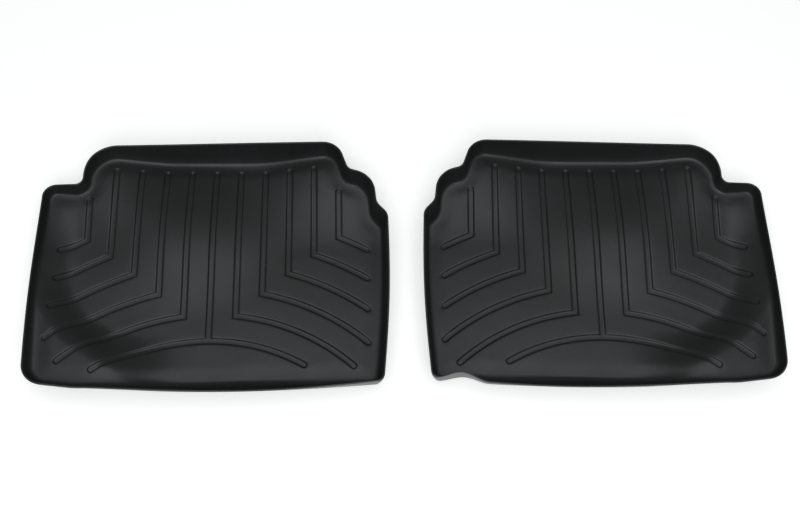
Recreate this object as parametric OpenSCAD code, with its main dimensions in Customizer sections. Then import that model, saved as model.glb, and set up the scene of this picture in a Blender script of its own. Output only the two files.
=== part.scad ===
// Floor mat set for the rear footwells of a car: two mirrored trays, each formed from one sheet.
// X runs to the car's right, Y to its front and Z up.
// The origin is at the middle of the set, on the ground that the mats rest on.

/* [Mat] */
// Width of one mat, from its door side to its tunnel side
mat_w = 557; // [460:1:680]
// Length of one mat, from its seat side to its front wall
mat_l = 414.5; // [345:0.5:500]
// Thickness of the formed sheet
sheet_t = 3; // [2.4:0.1:4]

/* [Walls] */
// Rim height of the front wall above the lowest floor
front_h = 50; // [38:1:64]
// Rim height of the tunnel side wall
tunnel_h = 50; // [38:1:64]
// Rim height of the seat side wall
seat_h = 38; // [30:1:48]
// Rim height at the seat end of the door side
sill_h = 49; // [44:1:60]
// Rim height at the front end of the door side
notch_h = 32; // [24:1:44]
// Horizontal run of a wall, from its rim to the floor
wall_run = 14; // [11:0.5:17]
// Horizontal run of the seat side wall where it meets the tunnel side
seat_run = 20; // [14:0.5:24]

/* [Outline] */
// Width of the notch that clears the door pillar
notch_w = 69; // [60:1:84]
// Length of the notch
notch_l = 66; // [62:1:82]
// Bulge of the seat side edge in its middle
seat_bow = 12; // [0:0.5:18]
// Pull of the right mat's seat side edge beside the tunnel corner
seat_wave = 6; // [0:0.5:9]

/* [Floor] */
// Rise of the floor in the corner between the door side and the seat side
sill_rise = 46; // [30:1:50]
// Rise of the floor in both front corners
front_rise = 20; // [0:1:26]
// Rise of the floor's middle
middle_rise = 8; // [0:0.5:14]

/* [Channels] */
// Distance between the centre lines of two straight channels
channel_pitch = 40; // [33:0.5:48]
// Width of a channel at the floor
channel_w = 10; // [8:0.2:12]
// Depth of a channel
channel_d = 2; // [1:0.1:2.6]
// Radius of the first curved channel
arc_r = 286; // [270:1:300]
// Distance between two curved channels
arc_pitch = 43; // [36:0.5:50]

/* [Set] */
// Gap between the two mats where they are closest
mat_gap = 48; // [20:1:200]
// Turn of the left mat as it is laid down
left_turn = 0.4; // [-3:0.1:3]
// Turn of the right mat as it is laid down
right_turn = -1.4; // [-3:0.1:3]

/* [Hidden] */

half_w = mat_w / 2;
seat_y = -95;
front_y = seat_y + mat_l;
ground_z = sheet_t + channel_d;
rim_chamfer = 0.6;
mat_colour = [0.11, 0.11, 0.12];

// Steps in which each shape is drawn
corner_steps = 4;
bank_steps = [0.1, 0.26, 0.48, 0.74, 1];
under_steps = [0, 0.16, 0.42, 1];
floor_steps = [0.12, 0.36, 0.66];
floor_centre = [0, 100];

// Plain maths
function clamp(t) = min(max(t, 0), 1);
function ease(t) = let (u = clamp(t)) u * u * (3 - 2 * u);
function bell(t) = abs(t) < 1 ? (1 + cos(180 * t)) / 2 : 0;
function unit(v) = v / norm(v);
function left_of(v) = [-v.y, v.x];
function turned(p, a) = [p.x * cos(a) - p.y * sin(a), p.x * sin(a) + p.y * cos(a)];
function wrapped(a) = (a + 900) % 360 - 180;

// Height of the floor above its lowest level
sill_reach = 205;
sill_length = 300;
rise_from = 60;
rise_over = 140;
function relief(p) =
    sill_rise * ease(1 - (p.x + half_w) / sill_reach) * ease(1 - (p.y - seat_y) / sill_length)
    + front_rise * ease((abs(p.x) - rise_from) / rise_over) * ease((p.y - front_y) / 150 + 1.13)
    + middle_rise * bell(norm([(p.x + 20) / 190, (p.y - 115) / 125]));

// Corners of the rim, anticlockwise from the door side's seat end:
// [place, radius, rim height, wall run, steps and bulge of the edge that follows, bulge of the floor there]
CORNER = [
    [[-half_w + 13.5, seat_y + 14], 32, sill_h, wall_run - 2, 9, seat_bow, 0],
    [[half_w - 10.5, seat_y + 11], 12, seat_h, seat_run, 6, 3, 3],
    [[half_w + 0.5, front_y - 132.5], 22, tunnel_h, wall_run, 1, 0, 0],
    [[half_w - 17.5, front_y - 112.5], 22, tunnel_h, wall_run, 1, 0, 0],
    [[half_w - 22.5, front_y - 61.5], 42, tunnel_h, wall_run, 1, 0, 0],
    [[half_w - 62.5, front_y - 50], 14, tunnel_h, wall_run, 1, 0, 0],
    [[half_w - 79.5, front_y], 34, front_h, wall_run, 8, 0, -5],
    [[-half_w + notch_w + 1.5, front_y], notch_l - 13, front_h, wall_run, 1, 0, 0],
    [[-half_w + notch_w + 1.5, front_y - notch_l], 12, front_h - 4, wall_run, 2, 0, 0],
    [[-half_w + 6.5, front_y - notch_l + 1], 20, notch_h, wall_run - 2, 7, 3, 3],
];
LAST = len(CORNER) - 1;

function before(i) = i == 0 ? LAST : i - 1;
function after(i) = i == LAST ? 0 : i + 1;

rim_corner = [for (c = CORNER) c[0]];
way = [for (i = [0:LAST]) unit(rim_corner[after(i)] - rim_corner[i])];
bend_of = [for (i = [0:LAST]) cross(way[before(i)], way[i])];

// The floor's corners lie inside the rim's by the wall's run, and stay concentric with them
floor_corner = [for (i = [0:LAST])
    let (a = left_of(way[before(i)]), b = left_of(way[i]))
    rim_corner[i] + (a + b) / (1 + a * b) * CORNER[i][3]];
rim_radius = [for (c = CORNER) c[1]];
floor_radius = [for (i = [0:LAST])
    bend_of[i] > 0 ? max(rim_radius[i] - CORNER[i][3], 8) : rim_radius[i] + CORNER[i][3]];

// One rounded corner as a list of points
function round_corner(at, i, radius) =
    let (
        back = unit(at[before(i)] - at[i]),
        ahead = unit(at[after(i)] - at[i]),
        half = acos(back * ahead) / 2,
        middle = at[i] + unit(back + ahead) * radius / sin(half),
        first = at[i] + back * radius / tan(half) - middle,
        last = at[i] + ahead * radius / tan(half) - middle,
        sweep = wrapped(atan2(last.y, last.x) - atan2(first.y, first.x))
    )
    [for (k = [0:corner_steps]) middle + turned(first, sweep * k / corner_steps)];

// The points between two rounded corners, on a straight or gently bulged edge
function edge_between(a, b, steps, bulge) =
    let (out = -left_of(unit(b - a)))
    steps < 2 ? [] : [for (k = [1:steps - 1]) a + (b - a) * k / steps + out * bulge * sin(180 * k / steps)];

function outline(at, radii, bulge_column) =
    let (arcs = [for (i = [0:LAST]) round_corner(at, i, radii[i])])
    [for (i = [0:LAST])
        each concat(arcs[i],
            edge_between(arcs[i][corner_steps], arcs[after(i)][0], CORNER[i][4], CORNER[i][bulge_column]))];

function along_edges(column) =
    [for (i = [0:LAST])
        each concat([for (k = [0:corner_steps]) CORNER[i][column]],
            CORNER[i][4] < 2 ? [] : [for (k = [1:CORNER[i][4] - 1])
                CORNER[i][column] + (CORNER[after(i)][column] - CORNER[i][column]) * k / CORNER[i][4]])];

rim_line = outline(rim_corner, rim_radius, 5);
floor_line = outline(floor_corner, floor_radius, 6);
rim_height = along_edges(2);
COUNT = len(rim_line);

function wave_at(p, wave) = p.y < seat_y + 40 ? [0, wave * bell((p.x - half_w + 46) / 34)] : [0, 0];

// A ring of the inner face between the rim (u = 0) and the floor (u = 1), pushed out by a thickness
function bank_ring(u, thickness, wave) =
    [for (i = [0:COUNT - 1])
        let (
            rim = rim_line[i] + wave_at(rim_line[i], wave),
            inward = unit(floor_line[i] - rim),
            run = norm(floor_line[i] - rim) - sheet_t,
            reach = sheet_t + run * u,
            low = relief(rim + inward * reach),
            drop = rim_height[i] - rim_chamfer - low,
            slope = unit([run, -3 * drop * (1 - u) * (1 - u)]),
            p = rim + inward * (reach + slope.y * thickness)
        )
        [p.x, p.y, low + drop * pow(1 - u, 3) - slope.x * thickness]];

// A ring of the rim's top edge
function rim_ring(reach, down, wave) =
    [for (i = [0:COUNT - 1])
        let (
            rim = rim_line[i] + wave_at(rim_line[i], wave),
            p = rim + unit(floor_line[i] - rim) * reach
        )
        [p.x, p.y, rim_height[i] - down]];

// A ring of the floor, part of the way to its centre
function floor_ring(v, thickness) =
    [for (p = floor_line)
        let (q = p + (floor_centre - p) * v)
        [q.x, q.y, relief(q) - thickness]];

function reversed(list) = [for (i = [len(list) - 1:-1:0]) list[i]];

// The tray's sheet as one closed skin of rings, from the floor's top centre over the rim to its underside
module sheet(wave) {
    rings = concat(
        [for (v = reversed(floor_steps)) floor_ring(v, 0)],
        [for (u = reversed(bank_steps)) bank_ring(u, 0, wave)],
        [rim_ring(sheet_t, rim_chamfer, wave), rim_ring(sheet_t - rim_chamfer, 0, wave)],
        [rim_ring(rim_chamfer, 0, wave)],
        [for (u = under_steps) bank_ring(u, sheet_t, wave)],
        [for (v = floor_steps) floor_ring(v, sheet_t)]
    );
    top = relief(floor_centre);
    points = concat(
        [for (r = rings) each r],
        [[floor_centre.x, floor_centre.y, top], [floor_centre.x, floor_centre.y, top - sheet_t]]
    );
    turns = len(rings);
    first_centre = turns * COUNT;
    last_ring = (turns - 1) * COUNT;
    faces = concat(
        [for (r = [0:turns - 2], i = [0:COUNT - 1])
            let (a = r * COUNT + i, b = r * COUNT + (i + 1) % COUNT)
            each [[a, b, b + COUNT], [a, b + COUNT, a + COUNT]]],
        [for (i = [0:COUNT - 1]) [first_centre, (i + 1) % COUNT, i]],
        [for (i = [0:COUNT - 1]) [first_centre + 1, last_ring + i, last_ring + (i + 1) % COUNT]]
    );
    polyhedron(points, faces, convexity = 8);
}

// Channel pattern: straight channels that run to the front, each turning into an arc about one centre
arc_centre = [0, -290];
end_margin = 34;
side_channels = floor((half_w - end_margin - 30) / channel_pitch);
stem_top = front_y - 31.5;
stem_step = 60;
arc_step = 34;

function arc_point(k, x) = [x, arc_centre.y + sqrt(pow(arc_r + k * arc_pitch, 2) - x * x)];
function spaced(a, b, step) =
    let (count = ceil(norm(b - a) / step))
    [for (j = [0:count]) a + (b - a) * j / count];
function top_of(i) =
    i == -side_channels ? front_y - notch_l - 16.5 : i == side_channels ? front_y - 73.5 : stem_top;
function arc_end(i) = half_w - end_margin - (abs(i) == 1 ? 22 : 0);

// The centre line of channel i, from its front end to its outer end
function channel_line(i) =
    let (
        x = i * channel_pitch,
        bend = arc_point(abs(i), x),
        end_x = sign(i) * arc_end(i),
        stem = top_of(i) - bend.y > channel_pitch / 2 ? spaced([x, top_of(i)], bend, stem_step) : [bend],
        turns = ceil(abs(end_x - x) / arc_step)
    )
    concat(stem, [for (j = [1:turns]) arc_point(abs(i), x + (end_x - x) * j / turns)]);

centre_line = spaced([0, stem_top], arc_point(0, 0), stem_step);
arc_line = [for (j = [0:10]) arc_point(0, -165 + (147 + 165) * j / 10)];

// Cross section of a channel at one point of its line: a trapezium, mitred to the line's turn
function section(line, j, low, high, low_w, high_w) =
    let (
        last = len(line) - 1,
        before_way = unit(line[max(j, 1)] - line[max(j, 1) - 1]),
        after_way = unit(line[min(j, last - 1) + 1] - line[min(j, last - 1)]),
        side = (left_of(before_way) + left_of(after_way)) / (1 + before_way * after_way),
        p = line[j],
        z = relief(p)
    )
    [for (e = [[-low_w, low], [low_w, low], [high_w, high], [-high_w, high]])
        [p.x + side.x * e[0] / 2, p.y + side.y * e[0] / 2, z + e[1]]];

// A bar of that cross section along the line, with tapered ends
module bar(line, low, high, low_w, high_w) {
    last = len(line) - 1;
    tip = 0.42 * high_w;
    ends = [
        line[0] + unit(line[0] - line[1]) * tip,
        line[last] + unit(line[last] - line[last - 1]) * tip
    ];
    run = concat([ends[0]], line, [ends[1]]);
    for (j = [0:last + 1]) {
        narrow_a = j == 0 ? 0.45 : 1;
        narrow_b = j == last + 1 ? 0.45 : 1;
        hull() polyhedron(
            concat(
                section(run, j, low, high, low_w * narrow_a, high_w * narrow_a),
                section(run, j + 1, low, high, low_w * narrow_b, high_w * narrow_b)
            ),
            [[0, 1, 2, 3], [7, 6, 5, 4], [0, 4, 5, 1], [1, 5, 6, 2], [2, 6, 7, 3], [3, 7, 4, 0]]
        );
    }
}

module all_bars(low, high, low_w, high_w) {
    bar(centre_line, low, high, low_w, high_w);
    bar(arc_line, low, high, low_w, high_w);
    for (i = [-side_channels:side_channels])
        if (i != 0) bar(channel_line(i), low, high, low_w, high_w);
}

// One mat for the left footwell, in its own frame: the foot of its centre channel is at x = 0, y = 0
module mat(wave) {
    lead = 1.2;
    spread = 2 * channel_d;
    color(mat_colour)
    translate([0, 0, ground_z])
    difference() {
        union() {
            sheet(wave);
            all_bars(-sheet_t - channel_d, -sheet_t / 2, channel_w, channel_w + spread);
        }
        all_bars(-channel_d, lead, channel_w - spread * 0.6, channel_w + spread * 0.36);
    }
}

// Where the two mats lie, so that the set's box is centred on the origin
place_x = half_w + mat_gap / 2;
laid = concat(
    [for (p = rim_line) turned(p, left_turn) - [place_x, 0]],
    [for (p = rim_line) turned([-p.x, p.y], right_turn) + [place_x, 0]]
);
set_middle = [
    (min([for (p = laid) p.x]) + max([for (p = laid) p.x])) / 2,
    (min([for (p = laid) p.y]) + max([for (p = laid) p.y])) / 2
];

module left_floor_mat() {
    translate([-place_x - set_middle.x, -set_middle.y, 0]) rotate(left_turn) mat(0);
}

module right_floor_mat() {
    translate([place_x - set_middle.x, -set_middle.y, 0]) rotate(right_turn) mirror([1, 0, 0]) mat(seat_wave);
}

left_floor_mat();
right_floor_mat();
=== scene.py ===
"""Floor mat set: two formed plastic trays for a car's rear footwells, side by side on a pale floor."""
import math

import bpy
import numpy as np
from mathutils import Matrix, Vector, geometry


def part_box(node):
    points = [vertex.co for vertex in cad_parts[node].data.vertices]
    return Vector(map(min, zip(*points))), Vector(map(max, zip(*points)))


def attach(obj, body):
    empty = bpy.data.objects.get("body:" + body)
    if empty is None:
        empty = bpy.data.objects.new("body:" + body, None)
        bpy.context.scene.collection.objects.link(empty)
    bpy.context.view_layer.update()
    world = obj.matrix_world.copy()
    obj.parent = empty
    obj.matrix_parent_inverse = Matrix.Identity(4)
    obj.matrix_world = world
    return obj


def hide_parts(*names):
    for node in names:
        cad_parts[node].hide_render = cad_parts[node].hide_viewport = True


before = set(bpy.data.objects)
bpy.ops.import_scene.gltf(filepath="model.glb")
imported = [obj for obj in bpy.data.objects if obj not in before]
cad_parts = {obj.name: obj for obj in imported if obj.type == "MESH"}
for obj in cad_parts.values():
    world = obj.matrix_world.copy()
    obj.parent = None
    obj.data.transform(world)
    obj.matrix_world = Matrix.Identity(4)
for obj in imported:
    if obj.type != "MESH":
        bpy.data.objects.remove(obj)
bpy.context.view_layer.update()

MM = 0.001

# ---------------------------------------------------------------- sizes, in mm, in one mat's own frame
# The left mat's frame: x runs from the door side to the tunnel side, y to the front wall, and z up from the
# floor's lowest level. The centre channel is at x = 0. The right mat is the left one's mirror image.
MAT_W = 557.0
MAT_L = 414.5
SHEET_T = 3.0
HALF_W = MAT_W / 2
SEAT_Y = -95.0
FRONT_Y = SEAT_Y + MAT_L

# Heights of the rim and runs of the walls below it
FRONT_H = 49.2
TUNNEL_H = 49.2
SEAT_H = 38.0
SILL_H = 49.2
NOTCH_H = 32.0
WALL_RUN = 18.0
FRONT_RUN = 17.0
SEAT_RUN = 22.0

# The notch for the door pillar, the seat edge's bow, and the pull in the right mat's seat edge
NOTCH_W = 69.0
NOTCH_L = 66.0
SEAT_BOW = 11.0
SEAT_WAVE = 12.0
WAVE_FROM_TUNNEL = 56.0
WAVE_HALF = 40.0
SEAT_ZONE = 40.0

# Rises of the floor: terrace by the door and the seat, both front corners, and the hump
SILL_RISE = 31.0
FRONT_RISE = 20.0
MIDDLE_RISE = 14.0

# Channels: straight ones side by side, each turning into an arc about one centre on x = 0
CHANNEL_PITCH = 40.0
CHANNEL_D = 2.8
SIDE_CHANNELS = 5
ARC_R = 286.0
ARC_PITCH = 43.0
ARC_CENTRE_Y = -290.0
ARC_ENDS = (-165.0, 147.0)
TUNNEL_MARGIN = 34.0
DOOR_MARGIN = 40.0
FIRST_SIDE_MARGIN = 22.0
STEM_TOP = FRONT_Y - 31.5
NOTCH_STEM_TOP = FRONT_Y - NOTCH_L - 16.5
STEP_STEM_TOP = FRONT_Y - 73.5

LEFT_TURN = math.radians(0.4)
RIGHT_TURN = math.radians(-1.4)


# ---------------------------------------------------------------- plain maths
def ease(t):
    u = np.clip(t, 0, 1)
    return u * u * (3 - 2 * u)


def bell(t):
    return np.where(np.abs(t) < 1, (1 + np.cos(np.pi * np.clip(t, -1, 1))) / 2, 0)


def unit(v):
    return v / np.linalg.norm(v, axis=-1, keepdims=True)


def left_of(v):
    return np.stack([-v[..., 1], v[..., 0]], axis=-1)


# ---------------------------------------------------------------- floor
# The floor's well has a rounded corner. Beyond it the floor climbs onto the terrace, over a length that
# grows from the door side to the middle. Each pair below says where a change starts and its length.
WELL_CORNER = (-110.0, 115.0)
WELL_RADIUS = 104.0
SILL_CLIMB = 60.0
SEAT_CLIMB = 140.0
CLIMB_GROWS = (-190.0, 190.0)
SILL_FADES_X = (-170.0, 170.0)
SILL_FADES_Y = (80.0, 200.0)
FRONT_RISES_X = (60.0, 140.0)
FRONT_RISES_Y = (FRONT_Y - 169.5, 150.0)
HUMP_AT = (-60.0, 180.0)
HUMP_HALF = (180.0, 160.0)
BORDER_W = 18.0


def eased(value, change):
    """Goes from 0 to 1 over a change's (start, length)."""
    start, length = change
    return ease((value - start) / length)


def faded(value, change):
    """Goes from 1 to 0 over a change's (start, length)."""
    start, length = change
    return ease(1 - (value - start) / length)


def relief(p):
    """Height of the floor above its lowest level, at points p of shape (n, 2)."""
    x, y = p[..., 0], p[..., 1]
    past_x = np.minimum(x - WELL_CORNER[0], 0)
    past_y = np.minimum(y - WELL_CORNER[1], 0)
    beyond = np.hypot(past_x, past_y) - WELL_RADIUS
    climb = SILL_CLIMB + (SEAT_CLIMB - SILL_CLIMB) * eased(x, CLIMB_GROWS)
    sill = SILL_RISE * ease(beyond / climb) * faded(x, SILL_FADES_X) * faded(y, SILL_FADES_Y)
    front = FRONT_RISE * eased(np.abs(x), FRONT_RISES_X) * eased(y, FRONT_RISES_Y)
    from_hump = np.hypot((x - HUMP_AT[0]) / HUMP_HALF[0], (y - HUMP_AT[1]) / HUMP_HALF[1])
    return sill + front + MIDDLE_RISE * bell(from_hump)


# ---------------------------------------------------------------- outline
# Corners of the rim, anticlockwise from the door side's seat end: place, radius, rim height and wall run,
# then of the edge that follows: rim bulge, the bulge's lean, floor bulge, and what it takes off WALL_CURVE
CORNERS = [
    ((-HALF_W + 18, SEAT_Y + 14.5), 34, SILL_H, WALL_RUN + 2, 0, 1, 0, 0),
    ((-HALF_W + 96, SEAT_Y + 5), 150, SILL_H - 2, WALL_RUN + 2, SEAT_BOW, 1.1, 0, 2.8),
    ((HALF_W - 10, SEAT_Y + 10), 12, SEAT_H, SEAT_RUN, 4.5, 1, 3, 0),
    ((HALF_W + 1, FRONT_Y - 132.5), 22, TUNNEL_H, WALL_RUN, 0, 1, 0, 0),
    ((HALF_W - 17, FRONT_Y - 112.5), 22, TUNNEL_H, WALL_RUN, 0, 1, 0, 0),
    ((HALF_W - 22, FRONT_Y - 61.5), 42, TUNNEL_H, WALL_RUN, 0, 1, 0, 0),
    ((HALF_W - 62, FRONT_Y - 50), 14, TUNNEL_H, WALL_RUN - 2, 0, 1, 0, 0),
    ((HALF_W - 79, FRONT_Y), 34, FRONT_H, FRONT_RUN, 0, 1, -5.5, 0),
    ((-HALF_W + NOTCH_W + 1.5, FRONT_Y), NOTCH_L - 13, FRONT_H - 5, FRONT_RUN, 0, 1, 0, 0),
    ((-HALF_W + NOTCH_W + 1.5, FRONT_Y - NOTCH_L), 12, NOTCH_H + 4, WALL_RUN - 4, 0, 1, 0, 0),
    ((-HALF_W + 7.5, FRONT_Y - NOTCH_L + 2), 20, NOTCH_H, WALL_RUN - 5, 3, 1, 3, 0),
]
# A wall's height falls from its rim as this power of the way left to the floor
WALL_CURVE = 5.0
LEAST_FLOOR_RADIUS = 8.0
LEAST_ARC_STEPS = 6
CORNER_POINT_GAP = 2.2
EDGE_POINT_GAP = 4.0


def swung(v, a):
    """The vector v turned by each of the angles a."""
    return np.stack([v[0] * np.cos(a) - v[1] * np.sin(a), v[0] * np.sin(a) + v[1] * np.cos(a)], 1)


def round_corner(at, i, radius, steps):
    """The arc of that radius that rounds corner i of the polygon at."""
    here = at[i]
    back = unit(at[i - 1] - here)
    ahead = unit(at[(i + 1) % len(at)] - here)
    half = math.acos(float(back @ ahead)) / 2
    middle = here + unit(back + ahead) * radius / math.sin(half)
    first = here + back * radius / math.tan(half) - middle
    last = here + ahead * radius / math.tan(half) - middle
    sweep = math.atan2(last[1], last[0]) - math.atan2(first[1], first[0])
    sweep = (sweep + math.pi) % math.tau - math.pi
    return middle + swung(first, np.linspace(0, sweep, steps + 1))


def edge_between(a, b, steps, bulge, lean):
    """The points between two rounded corners, on an edge that bulges outwards."""
    t = np.linspace(0, 1, steps + 1)[1:-1, None]
    out = -left_of(unit(b - a))
    return a + (b - a) * t + out * bulge * np.sin(np.pi * t ** lean)


def outlines():
    """Returns the rim line, the floor line inside it, the rim's height and the wall's curve at each point."""
    rim_at = np.array([c[0] for c in CORNERS], float)
    run = np.array([c[3] for c in CORNERS], float)
    count = len(CORNERS)
    way = unit(np.roll(rim_at, -1, axis=0) - rim_at)
    way_in = np.roll(way, 1, axis=0)
    a, b = left_of(way_in), left_of(way)
    floor_at = rim_at + (a + b) / (1 + np.sum(a * b, axis=1, keepdims=True)) * run[:, None]
    turn = way_in[:, 0] * way[:, 1] - way_in[:, 1] * way[:, 0]
    rim_r = np.array([c[1] for c in CORNERS], float)
    floor_r = np.where(turn > 0, np.maximum(rim_r - run, LEAST_FLOOR_RADIUS), rim_r + run)
    angle = np.abs(np.arcsin(np.clip(turn, -1, 1)))
    arc_steps = [max(LEAST_ARC_STEPS, int(np.ceil(length / CORNER_POINT_GAP)))
                 for length in np.maximum(rim_r, floor_r) * angle]
    rim_arcs = [round_corner(rim_at, i, rim_r[i], arc_steps[i]) for i in range(count)]
    floor_arcs = [round_corner(floor_at, i, floor_r[i], arc_steps[i]) for i in range(count)]
    rim, floor, curve = [], [], []
    for i, corner in enumerate(CORNERS):
        j = (i + 1) % count
        bulge, lean, floor_bulge, straighter = corner[4:]
        steps = max(2, int(np.linalg.norm(rim_arcs[j][0] - rim_arcs[i][-1]) / EDGE_POINT_GAP))
        rim += [rim_arcs[i], edge_between(rim_arcs[i][-1], rim_arcs[j][0], steps, bulge, lean)]
        floor += [floor_arcs[i], edge_between(floor_arcs[i][-1], floor_arcs[j][0], steps, floor_bulge, 1)]
        t = np.linspace(0, 1, steps + 1)[1:-1]
        curve += [np.full(arc_steps[i] + 1, WALL_CURVE), WALL_CURVE - straighter * np.sin(np.pi * t)]
    rim = np.vstack(rim)
    return rim, np.vstack(floor), rim_heights(rim, rim_arcs), np.concatenate(curve)


def rim_heights(rim, rim_arcs):
    """The rim's height at each point: each corner's own at its middle, eased from one to the next."""
    along = np.concatenate([[0], np.cumsum(np.linalg.norm(np.diff(rim, axis=0), axis=1))])
    around = along[-1] + np.linalg.norm(rim[0] - rim[-1])
    middles = [arc[len(arc) // 2] for arc in rim_arcs]
    at = np.array([along[np.argmin(np.linalg.norm(rim - m, axis=1))] for m in middles])
    height = np.zeros(len(rim))
    for i, corner in enumerate(CORNERS):
        following = CORNERS[(i + 1) % len(CORNERS)][2]
        span = (at[(i + 1) % len(at)] - at[i]) % around
        from_here = (along - at[i]) % around
        between = from_here < span
        height[between] = corner[2] + (following - corner[2]) * ease(from_here[between] / span)
    return height


# ---------------------------------------------------------------- channels
LINE_POINT_GAP = 4.0


def points_over(length):
    """How many points a stretch of that length gets, with both ends."""
    return int(length / LINE_POINT_GAP) + 2


def arc_y(k, x):
    """Where the arc of channel k, counted from the middle one, passes x."""
    return ARC_CENTRE_Y + np.sqrt((ARC_R + k * ARC_PITCH) ** 2 - x * x)


def channel_line(i):
    """Centre line of side channel i as two stretches: down from its front end, then out along its arc."""
    x = i * CHANNEL_PITCH
    top = {-SIDE_CHANNELS: NOTCH_STEM_TOP, SIDE_CHANNELS: STEP_STEM_TOP}.get(i, STEM_TOP)
    margin = DOOR_MARGIN if i < 0 else TUNNEL_MARGIN
    if abs(i) == 1:
        margin += FIRST_SIDE_MARGIN
    end_x = math.copysign(HALF_W - margin, i)
    bend_y = arc_y(abs(i), x)
    stem_y = np.linspace(top, bend_y, points_over(top - bend_y))
    stem = np.stack([np.full_like(stem_y, x), stem_y], 1)
    xs = np.linspace(x, end_x, points_over(abs(end_x - x)))[1:]
    return np.vstack([stem, np.stack([xs, arc_y(abs(i), xs)], 1)])


CAP_STEPS = 10


def cap(centre, start):
    """Half a circle about a line's end, clockwise from the offset start, without its first and last point."""
    return centre + swung(start, -np.linspace(0, np.pi, CAP_STEPS + 1)[1:-1])


def offset_side(line, d):
    """The line moved to its left by d, mitred at its bends."""
    way = unit(np.diff(line, axis=0))
    a = left_of(np.vstack([way[:1], way]))
    b = left_of(np.vstack([way, way[-1:]]))
    return line + d * (a + b) / (1 + np.sum(a * b, axis=1, keepdims=True))


def loop_round(line, d):
    """Closed outline of the channel at distance d from its centre line."""
    left = offset_side(line, d)
    right = offset_side(line, -d)
    far = cap(line[-1], left[-1] - line[-1])
    near = cap(line[0], right[0] - line[0])
    return np.vstack([left, far, right[::-1], near])


def tee_loop(d):
    """Closed outline of the first arc and the centre channel that runs into it."""
    def arc(radius, x0, x1):
        xs = np.linspace(x0, x1, points_over(abs(x1 - x0)))
        return np.stack([xs, ARC_CENTRE_Y + np.sqrt(radius * radius - xs * xs)], 1)

    centre = np.array([0, ARC_CENTRE_Y])
    ends = [np.array([x, float(arc_y(0, x))]) for x in ARC_ENDS]
    out = [unit(e - centre) * d for e in ends]
    front_y = ARC_CENTRE_Y + math.sqrt((ARC_R + d) ** 2 - d * d)
    stem_y = np.linspace(front_y, STEM_TOP, points_over(STEM_TOP - front_y))[1:]
    up = np.stack([np.full_like(stem_y, -d), stem_y], 1)
    down = np.stack([np.full_like(stem_y, d), stem_y[::-1]], 1)
    top = cap(np.array([0, STEM_TOP]), np.array([-d, 0]))
    front_left = arc(ARC_R + d, ends[0][0] + out[0][0], -d)
    front_right = arc(ARC_R + d, d, ends[1][0] + out[1][0])
    rear = arc(ARC_R - d, ends[1][0] - out[1][0], ends[0][0] - out[0][0])
    return np.vstack([front_left, up, top, down, front_right,
                      cap(ends[1], out[1]), rear, cap(ends[0], -out[0])])


CHANNEL_LINES = [channel_line(i) for i in range(-SIDE_CHANNELS, SIDE_CHANNELS + 1) if i]


def channel_loops(d):
    return [loop_round(line, d) for line in CHANNEL_LINES] + [tee_loop(d)]


# Section of a channel above, and of its rib below: distance from the centre line, share of the depth
GROOVE = [(7.2, 0), (5.6, 0.03), (5.0, 0.2), (4.5, 0.5), (4.0, 0.8), (3.4, 0.97), (1.8, 1)]
RIB = [(8.5, 0), (6.9, 0.06), (6.2, 0.3), (5.5, 0.7), (4.8, 0.96), (2.6, 1)]

# The plain floor between the channels is a grid of triangles, kept off the lines that it must not crowd
GRID = 9.0
ROW_SHARE = 0.87
EDGE_CLEARANCE = 5.0
GROOVE_CLEARANCE = 3.5
LINE_CLEARANCE = 2.0
SAMPLES = 80
CENTRE_FOOT_Y = -4.0
CDT_INSIDE = 1
CDT_NEAR = 1e-4


def paved(boundary, rings):
    """Triangles over the floor inside the boundary that follow the channels' outlines.
    Returns points (n, 2), share of the channel depth (n) and triangles; the boundary's points come first."""
    points, share, edges = [boundary], [np.zeros(len(boundary))], []

    def add_loop(first, count):
        edges.extend((first + k, first + (k + 1) % count) for k in range(count))

    add_loop(0, len(boundary))
    total = len(boundary)
    for distance, depth in rings:
        for loop in channel_loops(distance):
            points.append(loop)
            share.append(np.full(len(loop), float(depth)))
            add_loop(total, len(loop))
            total += len(loop)
    outer = np.vstack(channel_loops(rings[0][0]))
    centre_stem = np.stack([np.zeros(SAMPLES), np.linspace(CENTRE_FOOT_Y, STEM_TOP, SAMPLES)], 1)
    arc_x = np.linspace(*ARC_ENDS, SAMPLES)
    lines = np.vstack(CHANNEL_LINES + [centre_stem, np.stack([arc_x, arc_y(0, arc_x)], 1)])
    low, high = boundary.min(0), boundary.max(0)
    rows = np.arange(low[1], high[1], GRID * ROW_SHARE)
    grid = np.array([(x + (GRID / 2 if k % 2 else 0), y) for k, y in enumerate(rows)
                     for x in np.arange(low[0], high[0], GRID)])
    grid = grid[inside(grid, boundary)]
    kept_off = ((boundary, EDGE_CLEARANCE), (outer, GROOVE_CLEARANCE), (lines, rings[0][0] + LINE_CLEARANCE))
    for others, gap in kept_off:
        near = np.min(np.linalg.norm(grid[:, None] - others[None], axis=2), axis=1)
        grid = grid[near > gap]
    points.append(grid)
    share.append(np.zeros(len(grid)))
    points, share = np.vstack(points), np.concatenate(share)
    result = geometry.delaunay_2d_cdt([Vector(p) for p in points], edges, [], CDT_INSIDE, CDT_NEAR)
    out = np.array([tuple(v) for v in result[0]])
    first_source = [s[0] if s else -1 for s in result[3]]
    out_share = np.array([share[s] if s >= 0 else 0 for s in first_source])
    if first_source[:len(boundary)] != list(range(len(boundary))):
        raise ValueError("the floor's boundary points moved")
    return out, out_share, [tuple(f) for f in result[2]]


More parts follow.
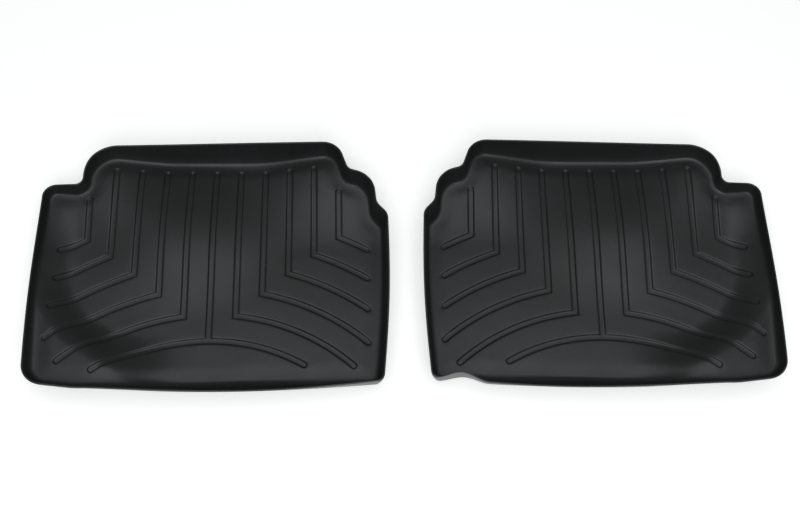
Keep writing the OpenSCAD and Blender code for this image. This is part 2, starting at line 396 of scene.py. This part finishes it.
def inside(p, polygon):
    """Which points lie inside the polygon."""
    x, y = p[:, :1], p[:, 1:]
    a, b = polygon, np.roll(polygon, -1, axis=0)
    crosses = (a[:, 1] > y) != (b[:, 1] > y)
    with np.errstate(divide="ignore", invalid="ignore"):
        at_x = a[:, 0] + (y - a[:, 1]) / (b[:, 1] - a[:, 1]) * (b[:, 0] - a[:, 0])
    return np.sum(crosses & (x < at_x), axis=1) % 2 == 1


# ---------------------------------------------------------------- one mat's closed skin
# Rings down a wall, as shares of its run, and the rounding of the trimmed edge
WALL_STEPS = [0.02, 0.05, 0.09, 0.14, 0.2, 0.27, 0.35, 0.43, 0.51, 0.6, 0.69, 0.78, 0.86, 0.93, 1]
EDGE_ROUND = 1.3
EDGE_TURNS = 6


def wall_ring(u, thickness, rim, floor, height, curve):
    """The ring at share u of the wall's run, moved out through the sheet by a thickness."""
    inward = unit(floor - rim)
    run = np.linalg.norm(floor - rim, axis=1) - SHEET_T
    reach = SHEET_T + run * u
    low = relief(rim + inward * reach[:, None]) - CHANNEL_D
    drop = height - EDGE_ROUND - low
    slope = unit(np.stack([run, -curve * drop * (1 - u) ** (curve - 1)], 1))
    place = rim + inward * (reach + slope[:, 1] * thickness)[:, None]
    return np.column_stack([place, low + drop * (1 - u) ** curve - slope[:, 0] * thickness])


def trimmed_edge(rim, floor, height):
    """Rings over the sheet's cut edge, from its inner face to its outer face."""
    inward = unit(floor - rim)
    rings = []
    for centre, start in ((SHEET_T - EDGE_ROUND, 0), (EDGE_ROUND, math.pi / 2)):
        for a in np.linspace(start, start + math.pi / 2, EDGE_TURNS + 1):
            reach = centre + EDGE_ROUND * math.cos(a)
            z = height - EDGE_ROUND + EDGE_ROUND * math.sin(a)
            rings.append(np.column_stack([rim + inward * reach, z]))
    return rings


def mat_skin(wave):
    """Vertices (n, 3) in mm, triangles and quads, and for each vertex whether it is on the trimmed edge."""
    rim, floor, height, curve = outlines()
    near_seat = rim[:, 1] < SEAT_Y + SEAT_ZONE
    pull = near_seat * wave * bell((rim[:, 0] - HALF_W + WAVE_FROM_TUNNEL) / WAVE_HALF)
    rim = rim + np.column_stack([np.zeros(len(rim)), pull])
    n = len(rim)
    inner = [wall_ring(u, 0, rim, floor, height, curve) for u in reversed(WALL_STEPS)]
    edge = trimmed_edge(rim, floor, height)
    outer = [wall_ring(u, SHEET_T, rim, floor, height, curve) for u in WALL_STEPS]
    rings = inner + edge + outer
    trim = np.repeat([0.0, 1.0, 0.0], [n * len(inner), n * len(edge), n * len(outer)])
    verts = [np.vstack(rings)]
    faces = []
    for r in range(len(rings) - 1):
        for i in range(n):
            a, b = r * n + i, r * n + (i + 1) % n
            faces.append((a, a + n, b + n, b))
    top_points, top_share, top_faces = paved(floor, GROOVE)
    top_z = relief(top_points) - border(top_points, floor) - CHANNEL_D * top_share
    under_edge = outer[-1][:, :2]
    low_points, low_share, low_faces = paved(under_edge, RIB)
    low_dip = np.maximum(border(low_points, under_edge), CHANNEL_D * low_share)
    low_z = relief(low_points) - low_dip - SHEET_T
    top_first = len(verts[0])
    low_first = top_first + len(top_points) - n
    verts += [np.column_stack([top_points, top_z])[n:], np.column_stack([low_points, low_z])[n:]]
    top_map = np.concatenate([np.arange(n), top_first + np.arange(len(top_points) - n)])
    last_ring = (len(rings) - 1) * n
    low_map = np.concatenate([last_ring + np.arange(n), low_first + np.arange(len(low_points) - n)])
    faces += [tuple(int(top_map[v]) for v in f) for f in top_faces]
    faces += [tuple(int(low_map[v]) for v in reversed(f)) for f in low_faces]
    verts = np.vstack(verts)
    return verts, faces, np.concatenate([trim, np.zeros(len(verts) - len(trim))])


def border(points, edge):
    """How far the floor dips towards the foot of its walls."""
    away = np.min(np.linalg.norm(points[:, None] - edge[None], axis=2), axis=1)
    return CHANNEL_D * (1 - ease(away / BORDER_W))


def build_mat(name, node, body, wave, turn, mirrored, material):
    """One mat's mesh, turned, centred on its node's box, set on the ground and made to ride its body."""
    verts, faces, trim = mat_skin(wave)
    if mirrored:
        verts[:, 0] *= -1
        faces = [tuple(reversed(f)) for f in faces]
    c, s = math.cos(turn), math.sin(turn)
    verts[:, :2] = verts[:, :2] @ np.array([[c, s], [-s, c]])
    low, high = (np.array(v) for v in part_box(node))
    verts *= MM
    middle = (verts[:, :2].min(0) + verts[:, :2].max(0)) / 2
    verts[:, :2] += (low[:2] + high[:2]) / 2 - middle
    verts[:, 2] += low[2] - verts[:, 2].min()
    mesh = bpy.data.meshes.new(name)
    mesh.from_pydata(verts.tolist(), [], faces)
    mesh.validate()
    layer = mesh.attributes.new("trim", "FLOAT", "POINT")
    layer.data.foreach_set("value", trim.astype(np.float32))
    mesh.shade_smooth()
    mesh.materials.append(material)
    mat = bpy.data.objects.new(name, mesh)
    bpy.context.scene.collection.objects.link(mat)
    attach(mat, body)
    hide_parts(node)
    return mat


# ---------------------------------------------------------------- materials
def new_material(name):
    material = bpy.data.materials.new(name)
    material.use_nodes = True
    tree = material.node_tree
    return material, tree, tree.nodes["Principled BSDF"]


def formed_plastic(name, seed):
    """Satin black formed plastic: a fine pebbled grain, faint mottling, dust specks and a paler cut edge."""
    material, tree, shader = new_material(name)
    nodes, links = tree.nodes, tree.links
    place = nodes.new("ShaderNodeTexCoord").outputs["Object"]

    def noise(scale, detail, offset=0.0):
        shift = nodes.new("ShaderNodeMapping")
        shift.inputs["Location"].default_value = (seed + offset, offset, 0)
        links.new(place, shift.inputs["Vector"])
        node = nodes.new("ShaderNodeTexNoise")
        node.inputs["Scale"].default_value = scale
        node.inputs["Detail"].default_value = detail
        links.new(shift.outputs["Vector"], node.inputs["Vector"])
        return node.outputs["Fac"]

    def ramp(value, low, high, low_out, high_out):
        node = nodes.new("ShaderNodeMapRange")
        for key, number in (("From Min", low), ("From Max", high), ("To Min", low_out), ("To Max", high_out)):
            node.inputs[key].default_value = number
        links.new(value, node.inputs["Value"])
        return node.outputs["Result"]

    def mix(factor, a, b):
        node = nodes.new("ShaderNodeMix")
        node.data_type = "RGBA"
        for key, value in (("A", a), ("B", b)):
            socket = [s for s in node.inputs if s.name == key and s.type == "RGBA"][0]
            if isinstance(value, tuple):
                socket.default_value = value
            else:
                links.new(value, socket)
        links.new(factor, [s for s in node.inputs if s.name == "Factor" and s.type == "VALUE"][0])
        return [s for s in node.outputs if s.type == "RGBA"][0]

    black = (0.0150, 0.0155, 0.0143, 1)
    worn = (0.0195, 0.0203, 0.0200, 1)
    cut_edge = (0.018, 0.018, 0.017, 1)
    dust = (0.060, 0.060, 0.058, 1)
    mottled = mix(ramp(noise(9, 4), 0.35, 0.7, 0, 1), black, worn)
    specks = nodes.new("ShaderNodeTexVoronoi")
    specks.inputs["Scale"].default_value = 55
    links.new(place, specks.inputs["Vector"])
    speck = ramp(specks.outputs["Distance"], 0.02, 0.035, 1, 0)
    sparse = ramp(noise(30, 1, 4.0), 0.60, 0.64, 0, 0.5)
    both = nodes.new("ShaderNodeMath")
    both.operation = "MULTIPLY"
    links.new(speck, both.inputs[0])
    links.new(sparse, both.inputs[1])
    dusty = mix(both.outputs[0], mottled, dust)
    edge = nodes.new("ShaderNodeAttribute")
    edge.attribute_name = "trim"
    links.new(mix(edge.outputs["Fac"], dusty, cut_edge), shader.inputs["Base Color"])

    links.new(ramp(noise(22, 5, 2.0), 0.3, 0.75, 0.32, 0.42), shader.inputs["Roughness"])

    grain = nodes.new("ShaderNodeTexVoronoi")
    grain.feature = "SMOOTH_F1"
    grain.inputs["Scale"].default_value = 900
    links.new(place, grain.inputs["Vector"])
    grain_bump = nodes.new("ShaderNodeBump")
    grain_bump.inputs["Strength"].default_value = 0.35
    grain_bump.inputs["Distance"].default_value = 0.0003
    links.new(grain.outputs["Distance"], grain_bump.inputs["Height"])
    ripple_bump = nodes.new("ShaderNodeBump")
    ripple_bump.inputs["Strength"].default_value = 0.25
    ripple_bump.inputs["Distance"].default_value = 0.0006
    links.new(noise(60, 3, 7.0), ripple_bump.inputs["Height"])
    links.new(grain_bump.outputs["Normal"], ripple_bump.inputs["Normal"])
    links.new(ripple_bump.outputs["Normal"], shader.inputs["Normal"])
    return material


def pale_floor():
    """The photograph's near white ground: matt, and slightly lit by itself."""
    material, _, shader = new_material("pale_floor")
    shader.inputs["Base Color"].default_value = (0.86, 0.86, 0.86, 1)
    shader.inputs["Roughness"].default_value = 0.9
    shader.inputs["Emission Color"].default_value = (1, 0.98, 0.95, 1)
    shader.inputs["Emission Strength"].default_value = 0.50
    return material


# ---------------------------------------------------------------- stage, light and camera, in m
STAGE_HALF = 6.0
LAMP_COLOUR = (0.90, 0.96, 1.0)
WORLD_STRENGTH = 0.13
CAMERA_AT = (-0.0563, -0.6540, 1.4485)
CAMERA_YAW = math.radians(4.014)
CAMERA_DOWN = math.radians(65.28)
CAMERA_ROLL = math.radians(3.17)
LENS_MM = 45
SENSOR_MM = 36


def build_stage():
    corners = [(x * STAGE_HALF, y * STAGE_HALF, 0) for x, y in ((-1, -1), (1, -1), (1, 1), (-1, 1))]
    mesh = bpy.data.meshes.new("floor")
    mesh.from_pydata(corners, [], [(0, 1, 2, 3)])
    floor = bpy.data.objects.new("floor", mesh)
    bpy.context.scene.collection.objects.link(floor)
    mesh.materials.append(pale_floor())


def softbox(name, place, target, width, depth, power):
    """A rectangular area lamp at a place, turned to a target; its power is in watts."""
    light = bpy.data.lights.new(name, "AREA")
    light.shape = "RECTANGLE"
    light.size, light.size_y = width, depth
    light.energy = power
    light.color = LAMP_COLOUR
    lamp = bpy.data.objects.new(name, light)
    lamp.location = place
    lamp.rotation_euler = (Vector(target) - Vector(place)).to_track_quat("-Z", "Y").to_euler()
    bpy.context.scene.collection.objects.link(lamp)


def build_lights():
    softbox("overhead", (0, -0.5, 2.6), (0, -0.5, 0), 2.9, 3.0, 35)
    softbox("left_side", (-2.0, 0.6, 1.7), (0, 0, 0), 1.6, 1.4, 2)
    softbox("right_side", (2.0, 0.6, 1.7), (0, 0, 0), 1.6, 1.4, 2)
    softbox("behind_camera", (0, -2.3, 2.2), (0, 0, 0), 2.4, 1.2, 32)
    world = bpy.data.worlds.new("studio")
    world.use_nodes = True
    world.node_tree.nodes["Background"].inputs["Color"].default_value = (1, 1, 1, 1)
    world.node_tree.nodes["Background"].inputs["Strength"].default_value = WORLD_STRENGTH
    bpy.context.scene.world = world
    bpy.context.scene.view_settings.view_transform = "Standard"


def build_camera():
    """Stands behind the seat edge and looks down on the set, as the photograph does."""
    yaw, down, roll = CAMERA_YAW, CAMERA_DOWN, CAMERA_ROLL
    forward = Vector((math.sin(yaw) * math.cos(down), math.cos(yaw) * math.cos(down), -math.sin(down)))
    right = Vector((math.cos(yaw), -math.sin(yaw), 0))
    up = right.cross(forward)
    right_rolled = right * math.cos(roll) + up * math.sin(roll)
    up_rolled = up * math.cos(roll) - right * math.sin(roll)
    data = bpy.data.cameras.new("camera")
    data.lens = LENS_MM
    data.sensor_width = SENSOR_MM
    camera = bpy.data.objects.new("camera", data)
    axes = Matrix((right_rolled, up_rolled, -forward)).transposed()
    camera.matrix_world = Matrix.Translation(CAMERA_AT) @ axes.to_4x4()
    bpy.context.scene.collection.objects.link(camera)
    bpy.context.scene.camera = camera


build_camera()
build_stage()
build_lights()
build_mat("left_mat_skin", "left_floor_mat", "left_mat", 0, LEFT_TURN, False,
          formed_plastic("left_plastic", 0.0))
build_mat("right_mat_skin", "right_floor_mat", "right_mat", SEAT_WAVE, RIGHT_TURN, True,
          formed_plastic("right_plastic", 3.0))
